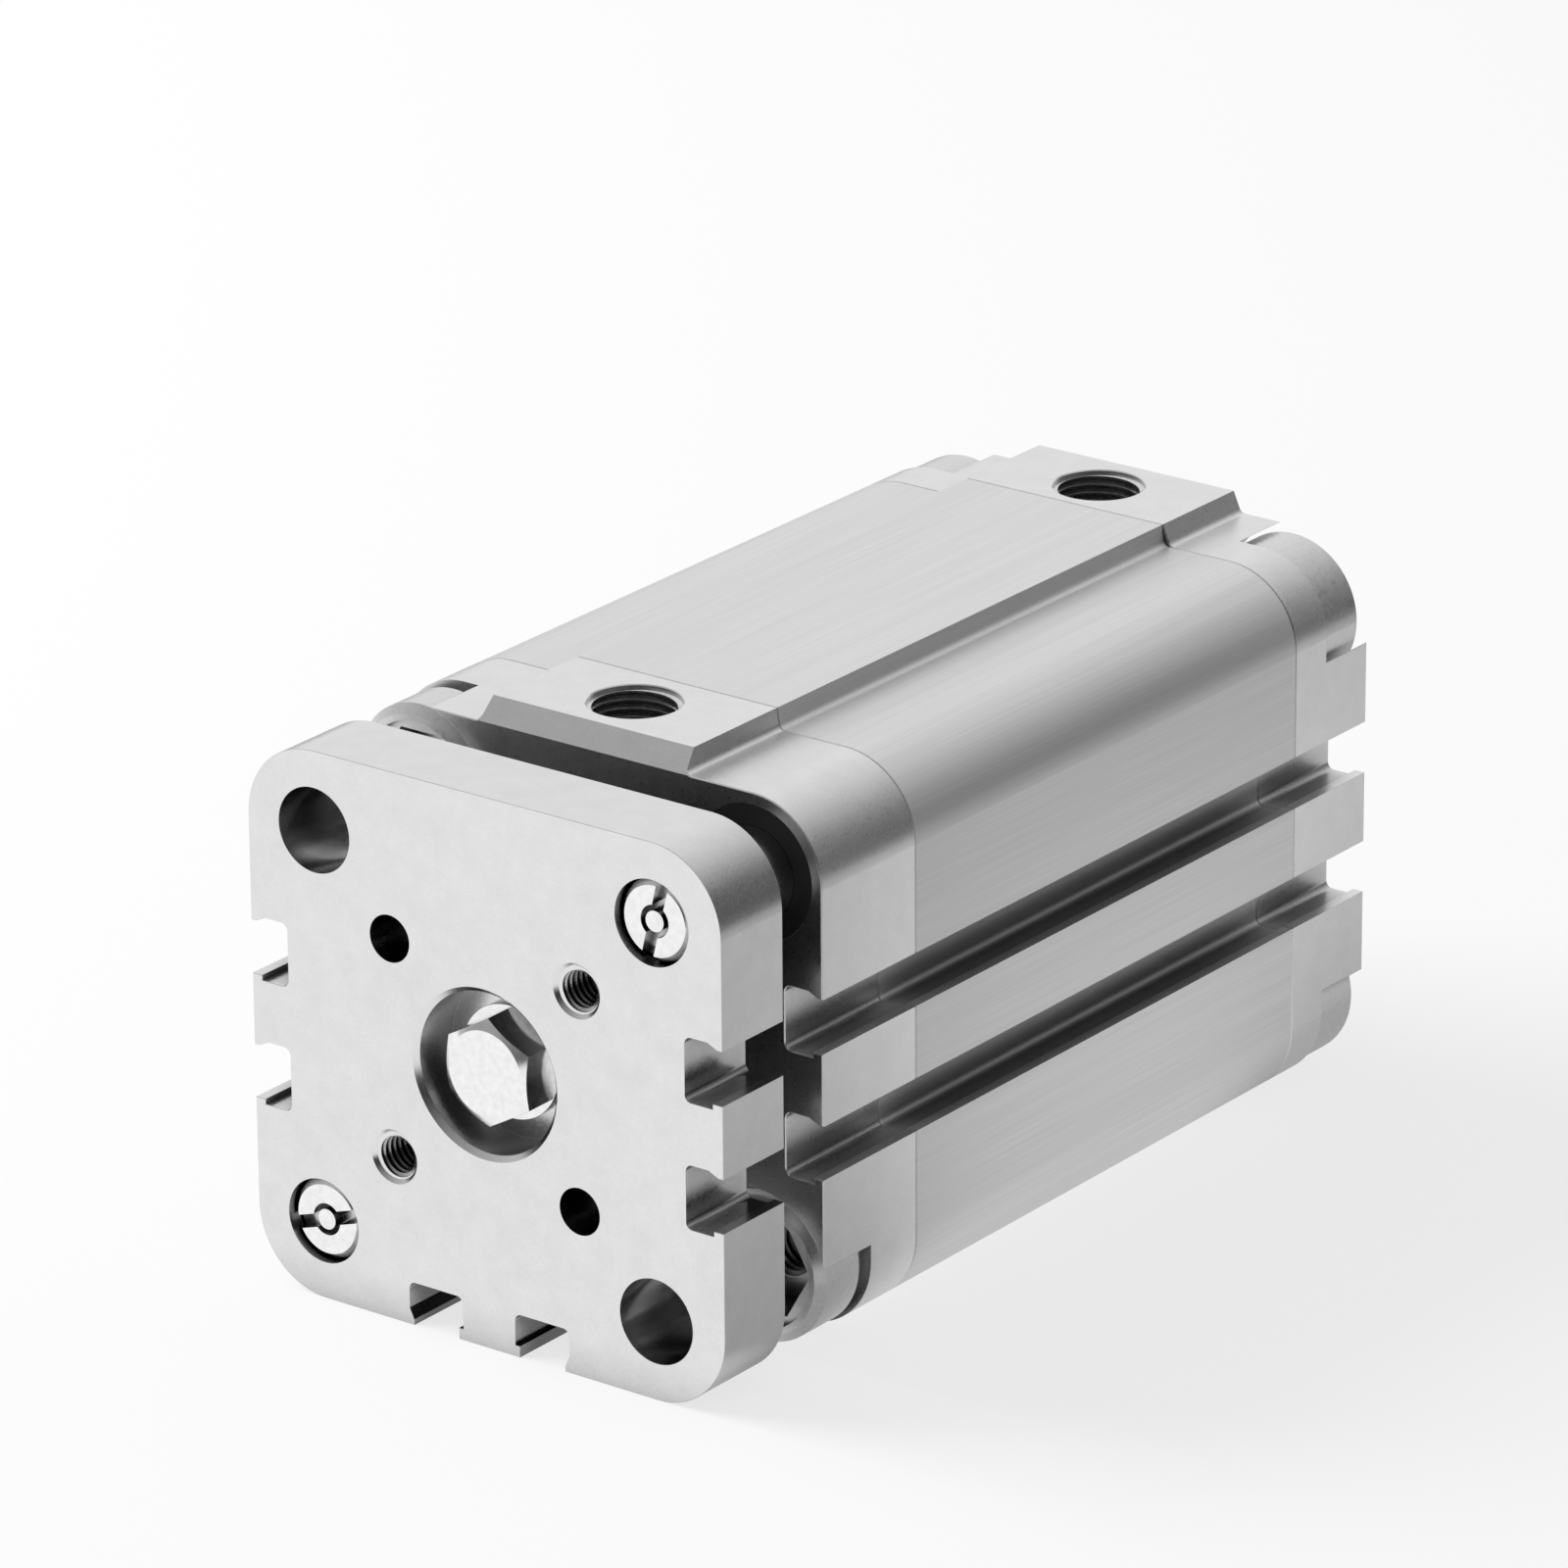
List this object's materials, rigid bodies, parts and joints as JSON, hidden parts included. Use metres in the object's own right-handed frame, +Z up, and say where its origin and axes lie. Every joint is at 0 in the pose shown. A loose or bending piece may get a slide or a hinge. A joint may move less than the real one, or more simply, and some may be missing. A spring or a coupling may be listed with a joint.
{
  "type": "guided pneumatic cylinder",
  "caption": "Square compact air cylinder with a yoke plate on guide rods, corner collar screws, T-slots for sensors and threaded air ports in raised pads.",
  "frame": {"origin": "centre of the centring recess in the rear cap's flat mounting face, on the piston's axis", "axes": "+Y along the piston's axis from the yoke plate to the rear face, +Z up through the port pads, +X to the right as seen from the plate"},
  "size_m": [0.0588, 0.1114, 0.061],
  "materials": {
    "profile_aluminium": "drawn and clear anodised, fine lines along the axis",
    "cap_aluminium": "clear anodised, fine matt grain",
    "plate_aluminium": "clear anodised, fine matt grain",
    "piston_aluminium": "turned",
    "collar_screw_steel": "bright zinc plated steel",
    "bolt_steel": "bright zinc plated steel",
    "piston_rod_steel": "rolled stainless steel",
    "guide_rod_steel": "ground and hardened steel",
    "bush_bronze": "sintered bronze",
    "seal_rubber": "matt",
    "cushion_polymer": "matt polyurethane",
    "magnet_ferrite": "bonded ferrite",
    "wear_ring_polymer": "acetal"
  },
  "bodies": {
    "cylinder_body": {"barrel": "profile_aluminium", "bearing_cap": "cap_aluminium", "rear_cap": "cap_aluminium", "front_collar_screws": "collar_screw_steel", "rear_collar_screws": "collar_screw_steel", "front_cap_oring": "seal_rubber", "rear_cap_oring": "seal_rubber", "front_cushion_ring": "cushion_polymer", "rear_cushion_ring": "cushion_polymer", "rod_bush": "bush_bronze", "rod_seal": "seal_rubber", "guide_bush_upper": "bush_bronze", "guide_bush_lower": "bush_bronze", "guide_wiper_upper": "seal_rubber", "guide_wiper_lower": "seal_rubber"},
    "yoke": {"yoke_plate": "plate_aluminium", "yoke_bolt": "bolt_steel", "yoke_washer": "bolt_steel", "piston_rod": "piston_rod_steel", "piston_nut": "bolt_steel", "piston_front": "piston_aluminium", "piston_rear": "piston_aluminium", "piston_magnet": "magnet_ferrite", "piston_wear_ring": "wear_ring_polymer", "piston_seal_front": "seal_rubber", "piston_seal_rear": "seal_rubber", "stud_oring": "seal_rubber", "guide_rod_upper": "guide_rod_steel", "guide_rod_lower": "guide_rod_steel", "guide_rod_screw_upper": "bolt_steel", "guide_rod_screw_lower": "bolt_steel"}
  },
  "joints": [
    {"name": "extend", "type": "slide", "parent": "cylinder_body", "child": "yoke", "axis": [0, -1, 0], "range_m": [0, 0.05]}
  ]
}
